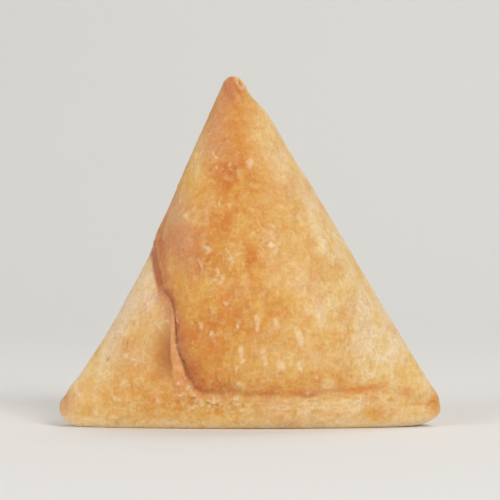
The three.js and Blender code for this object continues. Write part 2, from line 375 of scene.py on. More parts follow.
# How the front fold changes along its line, as (share of its length, multiple of DOUGH): how far
# the outer layer rolls in, how far the under layer drops, and half the width of the step.
FOLD_ROLL = curve(
    (0, 0), (0.3, 0), (0.36, 0.25), (0.45, 0.45), (0.52, 0.7), (0.57, 0.85), (0.64, 0.6), (0.75, 0.25),
    (0.9, 0.08), (1, 0),
)
FOLD_DROP = curve(
    (0, 0), (0.1, 0.7), (0.27, 0.9), (0.35, 1.2), (0.42, 0.7), (0.52, 0.6), (0.6, 0.35),
    (0.75, 0.12), (1, 0),
)
FOLD_WALL = curve((0, 0.4), (0.28, 0.5), (0.34, 0.6), (0.41, 0.2), (0.53, 0.2), (0.6, 0.4), (1, 0.3))
# The under layer's raised lip, the crack beside it and the outer layer's reddened and shaded foot, in
# millimetres against the share of the fold's length. The lip's edge is a share of WIDTH by height.
LIP_HEIGHT = curve((0.4, 0), (0.44, 0.3), (0.48, 0.5), (0.53, 0.7), (0.56, 0.5), (0.585, 0))
LIP_EDGE = curve((0.1, -0.19), (0.137, -0.1986), (0.185, -0.203), (0.262, -0.206), (0.35, -0.209))
LIP_SLOPE = 0.6
CRACK_DEPTH = curve((0.42, 0), (0.45, 0.35), (0.5, 0.3), (0.54, 0.15), (0.57, 0), (1, 0))
CRACK_WIDTH = 0.3
RED_WIDTH = curve(
    (0.28, 2.4), (0.38, 2.8), (0.43, 1.6), (0.48, 2.2), (0.51, 2.8), (0.54, 3.4), (0.57, 3), (0.75, 1.8),
)
# How far the pinkish skin reaches beside the upper crack, above the lip.
BESIDE_CRACK = curve((0.38, 0), (0.4, 1), (0.435, 1), (0.455, 0.6), (0.47, 0))


def beyond_lip(grid):
    """How far points lie to the left of the lip's edge, in millimetres."""
    edge = LIP_EDGE(grid[..., 2] / HEIGHT) * WIDTH
    return edge - grid[..., 0] + 0.15 * noise(grid, 1.6, 23) + 0.1 * noise(grid, 0.8, 24)


def overlap(d, roll, roll_reach, drop, drop_reach, wall):
    """Relief beside a fold: the outer layer rolls in to it, and the under layer drops behind it."""
    thick = d / DOUGH
    outer = -roll * np.exp(-np.maximum(thick, 0) / roll_reach)
    dip = drop * np.exp(-((np.maximum(-thick, 0) / drop_reach) ** 1.5))
    on_outer = step(d, -wall, wall)
    return DOUGH * (on_outer * outer - (1 - on_outer) * dip)


def front_fold(grid, normals):
    """Relief of the front fold, and where its parts lie."""
    wobble = 0.25 * noise(grid, 5, 11) + 0.15 * noise(grid, 1.9, 12) + 0.1 * noise(grid, 0.8, 13)
    d, along = from_line(fold_line(DOWN_THE_EDGE + ALONG_THE_RIM), grid, normals)
    d += wobble * step(along, 0.05, 0.3)
    s = section(grid[..., 2])
    across = np.clip((grid[..., 0] - s["middle"]) / s["half_width"], -1, 1)
    edge_fade = (1 - across**2) ** 0.25
    step_down = overlap(d, FOLD_ROLL(along), 1.1, FOLD_DROP(along) * edge_fade, 3, FOLD_WALL(along) * DOUGH)
    beyond = beyond_lip(grid)
    lip = LIP_HEIGHT(along) * (1 - step(beyond, -0.2, LIP_SLOPE)) * (1 - step(d, -0.3, 0.15))
    gutter = 0.4 * LIP_HEIGHT(along) * near(beyond - 2, 1.6)
    crack = CRACK_DEPTH(along) * near(d - 0.1, CRACK_WIDTH) * step(noise(grid, 1.3, 14), -0.5, 0.2)
    broken = 1 - 0.6 * step(along, 0.58, 0.66) * step(noise(grid, 5, 19), -0.3, 0.3)
    broken *= 1 - 0.5 * step(along, 0.7, 0.8)
    return broken * step_down + lip - gutter - crack, d, along


def back_pleat(grid, normals):
    """Relief of the pleat that closes the back, and how close points lie to its line."""
    d, along = from_line(fold_line(BACK_PLEAT), grid, normals)
    d += 0.4 * noise(grid, 6, 21)
    fade = 1 - step(along, 0.35, 1)
    line = near(d, 0.5)
    return overlap(d, 1.3 * fade, 1.5, 1.2 * fade, 3.4, 0.3) - 0.9 * fade * line, line * (1 - along)


# --- the crust's surface ---


def patch(grid, x, z, wide, tall):
    """A soft round patch between 0 and 1 on the front, in millimetres."""
    reach = np.hypot((grid[..., 0] - x) / wide, (grid[..., 2] - z) / tall)
    return near(reach, 1) * step(-grid[..., 1], -6, 2)


def patches(grid, spots):
    return sum(strength * patch(grid, x, z, wide, tall) for x, z, wide, tall, strength in spots)


# Patches of the front from the tip down, as (x, z, half width, half height, strength), in millimetres.
BROWNED = [
    (-3, 80, 2.6, 3.5, 0.95), (-2.6, 80, 1.3, 1.3, 0.3), (0.8, 76.5, 1, 1.7, 0.35), (0, 75, 1.3, 3, 0.3),
    (0.7, 73.5, 1.2, 2, 0.3), (4, 73.4, 1.2, 2, 0.3), (-7, 72, 3, 5, 0.45), (-4.5, 72, 3, 4, 0.4),
    (-2.6, 70, 2, 9, 0.5), (7, 66.5, 3, 3, 0.35), (-5.9, 65, 2.2, 3, 0.35), (-7, 61, 3, 4, 0.3),
    (-4.5, 60.8, 3.5, 3.2, 0.65), (10.7, 60.1, 1.5, 2, 0.3), (0.7, 59.5, 2, 2, 0.3),
    (-5, 58.5, 4, 4.5, 0.65), (-14, 57, 2, 4, 0.3), (3, 57, 9, 10, 0.4), (14.3, 57, 1, 2, 0.35),
    (-12.6, 55, 2, 4, 0.4), (10.7, 51.5, 2, 3, 0.3), (-2.7, 50.5, 1.7, 1.7, 0.3), (-4, 50, 3.5, 3, 0.35),
    (11, 50, 2.5, 5, 0.25), (-6.5, 47.5, 3.5, 4, 0.7), (-6, 47, 2, 1.5, 0.3), (18, 47, 4, 6, 0.25),
    (-12, 44, 2, 2.5, 0.4), (-12.5, 43.5, 2, 3, 0.35), (-9, 43.5, 1.7, 1.7, 0.3),
    (-12.6, 42.5, 1.5, 2, 0.25), (-9, 41, 1, 1, 0.6), (24, 40.5, 1.5, 2, 0.35), (-9, 40, 2, 2, 0.3),
    (0.3, 40, 0.8, 1.3, 0.55), (0.5, 39.8, 1.5, 2.2, 0.7), (20.5, 38.5, 1.6, 1.6, 0.25),
    (-9, 37, 6, 6, 0.35), (20.5, 37, 2.2, 4, 0.3), (20.6, 37, 1.5, 1.5, 0.4), (-5.9, 36.9, 1.5, 1.5, 0.25),
    (0.5, 36.9, 2.2, 2, 0.65), (0.7, 36.9, 1.7, 1.5, 0.25), (-9, 34, 1.7, 1.7, 0.3),
    (-22.8, 33.6, 1, 1.5, 0.4), (10.7, 33.6, 2, 2, 0.25), (0.5, 32, 2, 3.5, 0.55), (-8, 31, 4, 4, 0.3),
    (7.2, 30.3, 2.5, 2, 0.55), (-9, 27.5, 1.5, 1.5, 0.25), (-2.5, 27.5, 2.5, 5, 1),
    (24.5, 27.5, 3, 2, 0.15), (14.2, 27, 1.2, 1.5, 0.3), (-9, 26.5, 2, 2, 0.5), (4.5, 26, 3, 4, 0.5),
    (-2.7, 24, 1.7, 2, 0.25), (-9, 23, 5.5, 8, 0.6), (0.7, 23, 2, 3, 0.6), (-9, 20.5, 2, 2, 0.25),
    (14, 20.4, 2, 2, 0.2), (27.2, 20.4, 1.5, 1.5, 0.2), (-26, 20, 3, 3, 0.2), (-28.5, 19, 1.5, 2.2, 0.5),
    # The patch at x -20.5, z 17.5 darkens the dough beside the lip's left edge as painted shade.
    (22.5, 18, 2, 3, 0.15), (-36, 17.5, 2.5, 3, 0.3), (-20.5, 17.5, 2, 6, 0.65), (-26, 15, 4, 5, 0.5),
    (-19.2, 15, 1.3, 4, 0.5), (10.7, 13.7, 1.7, 1.7, 0.25), (-29, 13.5, 2.5, 2.5, 0.3),
    (34.6, 13.3, 2.1, 2.2, 0.5), (-30, 12, 2.5, 4, 0.2), (-5, 12, 9, 2, 0.15), (16, 11.5, 4, 1.4, 0.1),
    (-38, 11, 3, 2, 0.2), (10.7, 10.4, 1.5, 1.2, 0.45), (-26.5, 10, 3, 2, 0.35), (27, 9.8, 4, 1.2, 0.35),
    (-22, 8, 7, 4, 0.3), (-20, 7.5, 2, 1.5, 0.3), (-31.5, 7.3, 4, 2, 0.35), (-13.5, 7.3, 3, 1.2, 0.35),
    (4, 7.3, 2, 1, 0.4), (27.2, 7.2, 3, 1, 0.55), (-15.9, 7.1, 1.3, 1.2, 0.45), (17.3, 7, 2, 1, 0.3),
    (-12.5, 6, 6, 2.6, 0.8), (44, 6, 2, 3, 0.9), (41, 5.5, 4, 4, 0.25), (-36, 4, 4, 2, 0.25),
    (27.5, 4, 3, 1.2, 0.3), (44, 4, 1, 2, 0.4), (-2.5, 3.8, 2, 1.2, 0.35), (14, 3.8, 2, 1.3, 0.4),
    (30.5, 3.6, 3, 1.8, 0.9),
]
PALE = [
    (5, 70, 1.3, 3, 0.15), (-7, 67, 5, 1.6, 0.35), (6, 64.5, 3, 4, 0.15), (0.7, 63.5, 2, 2, 0.3),
    (-13, 62, 1.8, 4, 0.4), (7.3, 60.1, 2, 2, 0.4), (-9.2, 53.5, 1.7, 1.7, 0.3), (14, 53.5, 1.7, 2, 0.3),
    (-12.6, 50.5, 1.7, 2, 0.35), (14, 50.3, 1.5, 2, 0.35), (-17.5, 50, 2, 3, 0.5),
    (1.5, 49.5, 2, 1.5, 0.35), (-14, 48, 3, 1.4, 0.55), (-19.5, 44.5, 1, 1.5, 0.3),
    (-2.2, 43.5, 1.6, 2.5, 0.55), (6.2, 43.3, 2, 2.5, 0.6), (16.5, 42.7, 2, 2.8, 0.7),
    (21, 42.5, 1.5, 2.5, 0.1), (-6, 40.3, 2, 2, 0.35), (-2.5, 40.3, 1.5, 1.5, 0.3),
    (20.6, 40.3, 1.8, 3, 0.4), (-19.2, 37, 1.5, 2, 0.35), (4, 36.9, 1.5, 1.5, 0.3), (11, 36.9, 3, 2, 0.35),
    (-19.2, 35.5, 1.2, 3, 0.5), (-26, 34, 3.5, 8, 0.6), (17.3, 33.6, 1.7, 2, 0.3), (11, 33, 6, 5, 0.35),
    (12.5, 33, 4, 4, 0.2), (-12.5, 31.5, 1.2, 2, 0.25), (-5, 31, 1.5, 4, 0.15), (14, 31, 1.7, 1.7, 0.3),
    # The patch at x -23, z 30.5 lightens the dough beside the fold as painted light.
    (-23, 30.5, 2, 3, 0.4), (20.5, 30.5, 2, 3, 0.35), (27, 30.3, 2, 3, 0.35), (18, 26, 4, 7, 0.4),
    (16, 25.5, 2.5, 3.2, 0.5), (30.5, 25, 1.7, 3, 0.3), (-32, 24, 4, 7, 0.5), (14, 23.5, 1.5, 1.5, 0.2),
    (10, 22, 6, 6, 0.25), (29.5, 20.5, 1.2, 2.5, 0.4), (26, 20, 1.7, 2.5, 0.4), (27, 20, 6, 9, 0.5),
    (33.5, 20, 2, 3, 0.45), (27.5, 19.5, 3, 4, 0.45), (11.8, 17.5, 2, 3, 0.35), (-32, 17, 2.5, 4, 0.5),
    (-2.6, 17, 2, 2, 0.35), (0.7, 17, 1.7, 1.7, 0.3), (-26, 16.5, 1.8, 1.2, 0.5),
    (17.8, 16, 2.5, 2.3, 0.45), (30.5, 16, 1.7, 2, 0.3), (33.9, 14.5, 1.5, 2, 0.3), (4, 13.7, 2, 2, 0.35),
    (27, 12.2, 3, 2.3, 0.55), (-2.5, 10.7, 2, 1.5, 1), (17.8, 10.6, 2, 1.4, 0.95),
    (33.9, 10.6, 1.5, 1.3, 0.45), (-1, 10.5, 3, 1.5, 0.35), (-29, 10.4, 0.9, 1.1, 0.7),
    (-22.5, 10, 2, 1.7, 0.3), (33.9, 8.5, 2.5, 1.5, 0.3), (40.5, 7.4, 1.5, 1.2, 0.3),
    (-5.9, 7.1, 1.8, 1, 0.35), (-39, 7, 3, 3, 0.25), (-25.8, 7, 2.5, 2, 0.3), (31, 7, 2, 1.2, 0.3),
    (24, 5, 9, 2.2, 0.7), (-25.8, 4, 2.5, 1.5, 0.3), (34.5, 4, 2.5, 2, 0.6), (-32.4, 3.8, 2.5, 1.5, 0.25),
    (-19.2, 3.8, 2, 1.5, 0.3), (25.5, 3.8, 3, 1.3, 0.3), (0.7, 3.6, 4, 1.5, 0.6),
]
FLUSHED = [
    (-5, 80, 1.5, 3, 1), (-3.9, 77.5, 0.9, 1.4, 0.5), (-6, 76.5, 2, 4, 0.35), (-9, 71, 2, 8, 0.3),
    (-18, 51, 2.5, 4, 0.3), (-17.5, 43, 4.2, 4.5, 0.6), (-14, 37, 3, 3, 0.4), (3.5, 8.4, 1.3, 0.8, 0.5),
    (13.5, 8.4, 2.5, 0.9, 0.6), (-43.5, 5.5, 2.5, 3.5, 0.6),
]
# Zones that turn pinkish or yellowish without getting darker.
PINKISH = [
    (-8, 73.4, 2.5, 2.5, 0.5), (-9, 70, 3.5, 8, 1), (7, 64, 3.5, 7, 0.5), (14, 56.5, 4, 5, 0.55),
    (-16.5, 51, 2.5, 4, 0.6), (-17.5, 50, 3, 8, 1), (-15.5, 44, 4.5, 4.5, 1), (-12, 37, 2, 2.5, 0.4),
    (-27, 31, 5, 9, 0.4), (-24, 27, 2, 4, 0.3), (-22.5, 27, 1.5, 1.5, 0.4), (-33, 20, 5, 7, 0.1),
    (-26, 17, 3, 3, 0.6), (-9.2, 10.4, 1.5, 1.5, 0.4), (-42.4, 7.1, 1.5, 2, 0.4),
]
YELLOWED = [
    (-14.5, 57.5, 2.5, 3, 0.6), (-12, 56, 2, 4, 0.4), (0, 53, 5, 3.5, 0.4), (11.5, 45, 3.5, 3.5, 0.6),
    (-15.5, 36, 3, 3, 0.4), (22, 36, 4, 4, 0.4), (-9, 34, 4, 5, 0.9), (-15.5, 32, 3.5, 5, 0.6),
    (-26, 31.5, 2.5, 4, 0.6), (-1, 29, 4, 6, 0.4), (31, 22, 5, 7, 0.35), (-33, 20.5, 3, 5.5, 0.7),
    (3, 17, 7, 7, 0.6), (20, 16, 7, 6, 0.5), (35.6, 13.8, 1.8, 2.6, 0.6), (31, 13, 1, 2, 0.6),
    (30.5, 10.4, 2, 1.5, 0.6), (35, 7, 7, 5, 0.5), (-30, 5.5, 12, 4, 0.5), (43, 4.5, 4, 3, 0.5),
    (-12, 4, 6, 3, 0.8), (4, 4, 7, 2.5, 0.5), (31, 3.2, 4, 2, 0.9), (-8, 2.5, 14, 2, 0.4),
    (37, 2.5, 3, 1.5, 0.6),
]
# Orange lines and spots.
ORANGE = [
    (-4.4, 82.2, 1, 0.7, 1), (-2.7, 82, 0.5, 0.7, 0.9), (-1.6, 80, 0.4, 1.2, 0.7),
    (-2.2, 70, 1.3, 7, 0.12), (-6.5, 57.5, 2.8, 3, 0.4), (-5, 48, 1.5, 2.2, 0.5), (14.2, 43, 1, 1.5, 0.35),
    (-8.5, 41, 1, 0.9, 0.8), (0.6, 39.9, 1, 1.5, 0.35), (16.5, 39, 1.5, 0.8, 0.4),
    (19.8, 37.3, 1.5, 1.2, 0.4), (-7.1, 32.3, 0.7, 1.1, 0.5), (-6, 30.3, 2.5, 1.5, 0.5),
    (23.7, 28.6, 1.3, 1.5, 0.25), (-3.9, 27.8, 1.3, 1, 0.5), (20.8, 26, 0.8, 1, 0.5),
    (19.7, 13.1, 1.2, 1, 0.45), (15.5, 11.3, 1.3, 1.5, 0.75), (28.8, 9.7, 2.7, 0.8, 0.8),
    (21, 9.2, 2, 0.8, 0.55), (24.5, 9.2, 2.7, 0.8, 0.9), (18.3, 9, 2, 0.7, 0.5), (10.5, 8.8, 2.2, 1, 0.9),
    (36.5, 8.6, 1, 1.6, 0.5), (13.5, 8.1, 2, 0.9, 0.8), (27.2, 7.1, 1.5, 0.8, 0.3),
    (43.2, 6, 2.2, 2.7, 0.5), (39.6, 5.6, 1.6, 0.5, 0.9), (30.4, 3.8, 3.5, 1.7, 0.55),
    (20.8, 3.4, 1.8, 0.35, 0.5),
]
# Brown specks, and soft shadows painted as shade.
SPECKS_AND_SHADOWS = [
    (-1.8, 77.2, 0.5, 0.5, 0.4), (-4, 72.5, 3.5, 4, 0.14), (-6, 67.9, 0.35, 0.6, 0.8),
    (-4.6, 67.4, 0.3, 0.5, 0.7), (-5.5, 60.8, 0.4, 0.4, 0.6), (-9.3, 60.4, 0.5, 0.4, 0.7),
    (-19.2, 47, 1, 2.5, 0.15), (-21.4, 46, 0.3, 0.8, 0.5), (-15.9, 40.3, 2, 2.5, 0.12),
    (-15.8, 30.3, 1.3, 2.5, 0.2), (-16, 20.5, 1.2, 3, 0.25), (-19.5, 17, 1.5, 3, 0.15),
    (3.2, 16.3, 0.3, 0.3, 0.5), (-33.1, 15.9, 0.4, 0.4, 1), (32.8, 6.7, 0.7, 0.4, 0.4),
]
# Fine wrinkles where a flake of skin has lifted, as points (x, z).
WRINKLES = [
    [(17.6, 12.2), (18.8, 11), (20, 9.2)], [(-5.7, 52.9), (0, 51.4), (2.2, 49.1), (4.4, 45.5)],
    [(4.6, 47.8), (6, 45.6), (5.6, 43.6)], [(11.3, 51.8), (12.6, 49.6), (12.2, 47.8)],
    [(-9.4, 34.6), (-7.6, 36.2), (-6.2, 35.4), (-6.6, 33.4)], [(-12.4, 39.4), (-11.2, 37.6), (-11.6, 36)],
    [(-5.4, 41.8), (-4, 40.2), (-4.2, 38)], [(-2.6, 34.4), (-1.2, 36.2), (-0.6, 38.4)],
    [(8.4, 29.6), (9.2, 27.9), (10, 26.9)], [(20, 27.8), (21.5, 26.4), (20.8, 24.2)],
    [(24.4, 18.8), (25.6, 17.2), (26, 15.2)], [(25.6, 19.6), (27, 18.2), (27.2, 16.2)],
    [(15.5, 33.6), (16.4, 31.4), (16, 29)], [(16.2, 44.6), (18.2, 42.8), (18, 40.4)],
    [(-23.3, 43.5), (-22.1, 42.8), (-20.9, 42.9)], [(-22.7, 42.1), (-21.8, 43.4)],
]
# Pale flecks and blisters.
FLECKS = [
    (-3.7, 70.7, 0.7, 1.5, 0.35), (0.7, 69.6, 1, 1.2, 0.4), (-8.8, 64.5, 0.6, 0.9, 0.9),
    (-7.9, 63.2, 0.7, 0.7, 0.8), (-4.8, 61.9, 0.6, 0.9, 0.6), (0, 61.9, 1, 1.4, 1),
    (-7.9, 61, 0.6, 0.8, 0.8), (-15.9, 53.2, 0.4, 0.8, 0.6), (-7.3, 52.4, 0.5, 0.8, 0.6),
    (-5.1, 52.2, 0.8, 1, 0.5), (-10, 50.3, 0.4, 0.4, 0.9), (-14.8, 49.2, 0.9, 1, 0.9),
    (5.2, 47, 1.5, 1.2, 0.4), (-14.3, 43, 0.7, 1.2, 0.4), (5, 43, 0.8, 0.9, 1),
    (-10.7, 42.4, 0.5, 0.5, 0.9), (17.4, 42.3, 1.6, 2.3, 0.65), (-9.9, 41.7, 0.5, 0.8, 0.9),
    (9.2, 41.2, 0.8, 0.8, 0.4), (-3.4, 40.8, 0.6, 1.1, 0.4), (-4.9, 39.3, 1.4, 0.5, 0.45),
    (21.6, 38.5, 1.1, 1.6, 0.4), (-7.7, 37.2, 0.5, 1, 0.8), (3.6, 37, 0.7, 1.2, 0.5),
    (-10.8, 33.6, 1, 1.2, 0.3), (-5.9, 33.6, 1.3, 0.8, 0.4), (9.2, 33.3, 0.5, 1, 0.5),
    (-3.3, 32.1, 0.8, 1.4, 0.4), (6.3, 31.8, 0.5, 1, 0.55), (-11.6, 31.1, 0.9, 1, 0.4),
    (20.4, 30.6, 0.8, 1.8, 0.45), (4.7, 30.4, 1, 1, 0.4), (-5.6, 29.4, 0.6, 0.8, 1),
    (16.5, 26, 1.1, 2.2, 0.5), (1.7, 25.8, 0.9, 1.3, 0.85), (6.3, 25.2, 0.9, 1.6, 1),
    (27.3, 25, 1, 3, 0.35), (-2.9, 24.3, 0.7, 0.9, 0.7), (-11.5, 24, 0.8, 1.2, 0.6),
    (-21.2, 23.7, 0.7, 1.3, 0.6), (1.7, 23.4, 0.8, 1.1, 0.75), (-8.8, 22.2, 0.7, 0.9, 1),
    (11, 21.8, 0.9, 1.4, 0.9), (25, 21, 1.5, 2, 0.4), (32.8, 21, 0.7, 1.6, 0.5),
    (15.3, 20.7, 0.7, 1.6, 0.5), (-13.3, 20.4, 0.8, 1.2, 0.45), (-2, 18.8, 0.9, 1.1, 0.9),
    (2.9, 18, 0.9, 1.3, 0.8), (-28.3, 16.9, 0.9, 0.6, 0.8), (-1.6, 16.3, 0.9, 1, 0.9),
    (-27, 16, 0.6, 0.5, 0.7), (3.3, 15.7, 0.9, 1, 0.6), (7.3, 14.8, 1, 1.3, 1.1),
    (11.5, 14.7, 1, 1.4, 0.8), (-3, 14, 0.5, 2.2, 0.7), (33.6, 12.4, 0.7, 1.5, 0.6),
    (0, 12.1, 0.9, 1.7, 0.4), (26.2, 10.8, 0.8, 1.2, 0.5), (-28.9, 10.7, 0.7, 0.9, 0.7),
    (-2.4, 10.4, 0.5, 0.7, 0.9), (-31, 7, 0.8, 0.7, 0.8), (-21.3, 6.6, 0.8, 0.9, 1),
    (8.5, 6.5, 2.2, 0.5, 0.45), (25, 6.2, 1.6, 0.7, 0.55), (22.3, 5.4, 1.6, 1, 0.5), (5, 5, 2.5, 0.5, 0.4),
    (24.8, 4.4, 1.2, 0.8, 0.5), (34.6, 4.2, 0.6, 1.2, 0.4), (-36, 3.8, 0.9, 1.5, 0.75),
    (-31.6, 2.6, 1.1, 1.1, 0.8),
]
# Zones where the skin flakes, and where the dough stays smooth between them.
FLAKING = [
    (-6.5, 59.5, 3.5, 4, 0.4), (2.5, 45, 5, 4, 0.5), (20, 42, 3, 6, 0.4), (-7, 36, 6, 8, 1),
    (2, 22, 7, 8, 0.2), (24, 22, 7, 8, 0.5), (27, 8, 12, 4, 0.5), (-27, 6, 10, 5, 0.5),
    (-8, 5, 14, 3.5, 0.8),
]
KNOB = (-22.8, 42.9)  # the outer layer's corner at the top of the cut edge
CRUMBS_AT_FOOT = (-9, 6.5)
CRUMBS = [
    (-20.8, 28.8, 0.4, 0.3, 0.6), (-19.3, 25.3, 0.35, 0.35, 0.9), (15.4, 12.3, 0.45, 0.45, 1),
    (-15.1, 12.1, 0.4, 0.3, 0.9), (-16.3, 10.8, 0.6, 0.5, 1), (-14.2, 9.8, 0.5, 0.4, 0.8),
    (13.4, 8.6, 0.5, 0.5, 1), (20, 8.5, 0.5, 0.5, 1), (-12.8, 8.2, 0.7, 0.5, 0.9),
    (-16.3, 7.8, 0.9, 0.5, 1), (-3.1, 6.9, 0.5, 0.5, 0.9), (-11.1, 6.4, 0.5, 1, 1),
    (-8.3, 6.2, 0.8, 0.5, 0.9), (-13.4, 5, 1, 0.5, 0.9), (-1.9, 4.8, 0.8, 0.5, 0.6),
]
CRUMBS_IN_CRACK = (-17.4, 25.2)
RIGHT_CURL = (43.4, 4.1)
TIP_PIT = (-2.5, 81)


def wrinkle_lines(places):
    """How close places lie to a wrinkle, from 0 to 1, seen from the front."""
    spot = places[..., ::2]
    closest = np.full(spot.shape[:-1], 99.0)
    for points in WRINKLES:
        for start, end in zip(np.array(points), np.array(points[1:])):
            way = end - start
            share = np.clip((spot - start) @ way / (way @ way), 0, 1)
            gap = np.linalg.norm(spot - start - share[..., None] * way, axis=-1)
            closest = np.minimum(closest, gap)
    broken = step(noise(places, 2.2, 77), -0.5, 0.4)
    return near(closest, 0.38) * broken * step(-places[..., 1], 0, 4)


def skin(grid, normals):
    """Relief of the fried skin, and its paint."""
    sway = drift(grid, 2.6, (31, 33, 35), 2)
    swayed = grid + 0.7 * sway
    tall = swayed * (1, 1, 0.6)
    facing = step(np.abs(normals[..., 1]), 0.1, 0.75)
    behind = step(normals[..., 1], 0.1, 0.6)
    zones = patches(grid, FLAKING) + (0.3 + 0.9 * behind) * layered(grid, 6, 38) + 0.2 * behind
    patchy = 0.35 + 0.65 * np.clip(zones, 0, 1)
    patchy *= 0.4 + 0.6 * facing
    big = blisters(tall, 4.6, 40, 0.3) ** 1.3
    small = blisters(tall, 1.9, 50, 0.6) ** 1.3
    tiny = blisters(swayed, 1.1, 60, 0.6)
    drips = blisters(swayed * (1, 1, 0.4), 1.5, 44, 0.4) * patch(grid, 9, 19, 13, 8)
    ridges = near(layered(swayed * (1, 1, 0.8), 2.6, 65), 0.13) * step(layered(grid, 8, 68), -0.05, 0.3)
    creases = near(noise(tall, 3.4, 72), 0.14) * step(layered(grid, 11, 74), 0, 0.5)
    flecks = patches(grid + 0.5 * sway + 0.3 * drift(grid, 0.9, (34, 36, 37)), FLECKS)
    flecks = 0.7 * np.clip(flecks, 0, 1) + 0.3 * step(flecks, 0.2, 0.7)
    flecks *= 0.9 + 0.4 * noise(grid, 0.7, 39)
    wrinkles = wrinkle_lines(grid + 1.2 * sway)
    lumps = 0.6 * noise(grid, 17, 1) + 0.3 * noise(grid, 8, 2) + 0.12 * noise(grid, 4, 3)
    rise = lumps * (0.25 + 0.75 * facing)
    rise += (0.3 * big + 0.28 * small + 0.14 * ridges - 0.16 * creases) * patchy + 0.15 * drips
    rise += 0.12 * tiny + 0.3 * flecks + 0.3 * wrinkles + 0.09 * layered(swayed, 1.3, 76, 2) * facing
    pale = (0.3 * big + 0.35 * small + 0.35 * ridges) * patchy + flecks + 0.5 * wrinkles + 0.6 * drips
    return rise, {"fleck": pale, "flaking": patchy, "facing": facing}


def rim_layers(grid, d, along):
    """Thin flaky layers on the rim, below the crease, from 0 to 1."""
    rim = step(-d, 0.3, 1.2) * step(along, 0.6, 0.78) * step(-grid[..., 1], 4, 8)
    sheet = 0.7 * noise(grid * (0.22, 1, 1), 1.1, 80) + 0.6 * noise(grid * (0.35, 1, 1), 0.6, 81)
    broken = step(noise(grid, 3.5, 82), -0.5, 0.4) * (1 - 0.4 * step(grid[..., 0], 25, 29))
    return rim * broken * near(sheet - 0.1, 0.25)


def small_forms(grid):
    """Relief of the crumbs, the right corner's curl, the knob and the tip, and their marks, some of them
    painted shade.
    """
    x, y, z = (grid[..., i] for i in range(3))
    front = step(-y, 2, 6)
    swayed = grid + 0.5 * drift(grid, 1.1, (101, 102, 103))
    at_foot = patch(grid, *CRUMBS_AT_FOOT, 7.5, 1.8)
    crumbs = 0.95 * at_foot * (blisters(swayed, 1.1, 110, 0.5) + 0.8 * blisters(swayed, 0.7, 111, 0.6))
    crumbs += patches(swayed, CRUMBS)
    crumbs += 1.3 * patch(grid, *CRUMBS_IN_CRACK, 0.9, 2) * blisters(swayed, 1, 120, 0.9)
    # Gaps between the crumbs, pressed in and darkened as painted shade.
    gaps = at_foot * near(noise(swayed, 1.2, 130), 0.2) * (1 - np.clip(2 * crumbs, 0, 1))
    east, up = x - RIGHT_CURL[0], z - RIGHT_CURL[1]
    curl_reach = np.hypot(east, up) + 0.25 * noise(grid, 1.3, 104)
    quarter = 1 - step(np.abs(np.arctan2(up, east) - 2.3), 0.6, 1.2)
    curl = (near(curl_reach - 1.1, 0.5) - near(curl_reach - 1.8, 0.4)) * front * quarter
    ring = near(curl_reach - 1.8, 0.4) * quarter + near(up + 0.4 * east, 0.2) * near(curl_reach, 1)
    knob = near(np.hypot(x - KNOB[0], z - KNOB[1]), 0.7)
    lean = (x - TIP_PIT[0]) + 0.35 * (z - TIP_PIT[1])
    pit_reach = np.hypot(lean / 0.4, (z - TIP_PIT[1]) / 0.75)
    facing = step(-y, -6, -4)
    # The pit is pressed in and darkened as painted shade.
    pit = near(pit_reach, 0.8) * facing
    brink = near(pit_reach - 1.7, 0.6) * facing
    # A groove down the tip's valley, whose dark line is painted shade.
    valley = near(x + 3.3 - 0.6 * (80 - z), 0.5) * step(z, 76, 78) * step(-y, -6, -3)
    neck = near(z - 76.5 - 0.6 * x, 1.0) * step(x, -2, 1)
    rise = 0.4 * crumbs - 0.12 * gaps + 0.25 * curl + 0.15 * knob
    rise += 0.25 * brink - 0.4 * pit - 0.25 * valley - 0.15 * neck
    pale = 0.65 * crumbs + 0.5 * brink
    return rise, {"crumbs": pale, "gaps": gaps, "ring": ring * front, "pit": pit, "valley": valley}


def browning(grid, normals, d, to_left, to_right):
    """How far the crust has fried, from 0, pale, to 1, deep golden, with painted light near the base."""
    z = grid[..., 2]
    on_face = step(d, 0.5, 4)
    tone = 0.5 + 0.12 * layered(grid, 8, 90)
    tone += 0.1 * (1 - step(grid[..., 0], -8, 12)) * on_face
    tone += 0.2 * near(d - 2, 3) * step(d, 0, 1) * (1 - step(grid[..., 0], 5, 25))
    tone -= 0.28 * (1 - step(to_right, 1, 15)) + 0.2 * (1 - step(to_left, 0, 8))
    tone -= (1 - on_face) * (0.1 * step(z, 8, 16) + 0.05)
    # Paler in the bottom few millimetres: painted light against the shadow under the rounded base.
    tone -= 0.28 * (1 - step(z, 0.8, 3.5))
    tone += 0.2 * patch(grid, -6, 11, 10, 2.5) * noise(grid * (1, 1, 0.15), 0.6, 92)
    tone += step(normals[..., 1], 0.1, 0.6) * (0.12 + 0.4 * layered(grid, 9, 93))
    return tone + 0.34 * patches(grid, BROWNED) - 0.34 * patches(grid, PALE)


def upper_fold_paint(grid, along, to_left):
    """The cut edge beside the upper fold, the mauve skin inside it, both partly painted shade, and the left
    edge's two lines.
    """
    z = grid[..., 2]
    upper = within(along, 0.27, 0.3, 0.375, 0.405) * step(44.5 - z, 0, 1)
    across = grid[..., 0] - EDGE_SHARE(z / HEIGHT) * WIDTH + 0.2 * noise(grid, 3, 22)
    across += 0.35 * (1 - step(z, 32, 36))
    fading = 1 - 0.55 * step(across, 0.5, 1.3) - 0.45 * step(across, 1.5, 3.5)
    inside = to_left - 1 - 0.19 * (48 - z) + 0.2 * noise(grid, 1.5, 15)
    # The cut edge is browned dough, darkened in part as painted shade where it faces away from the light.
    shaded_cut_edge = upper * step(across, -1.7, -0.8) * fading
    # The mauve is partly painted shade on the outer layer's rolled shoulder.
    mauve_and_shade = upper * within(across, 0.8, 1.8, 2, 3.8)
    edge_line = near(inside, 0.3) * within(z, 42.5, 44, 47.5, 51)
    orange = 0.6 * step(-inside, 0, 0.4) * within(z, 42.5, 43.5, 46, 50)
    return shaded_cut_edge, mauve_and_shade, edge_line, orange


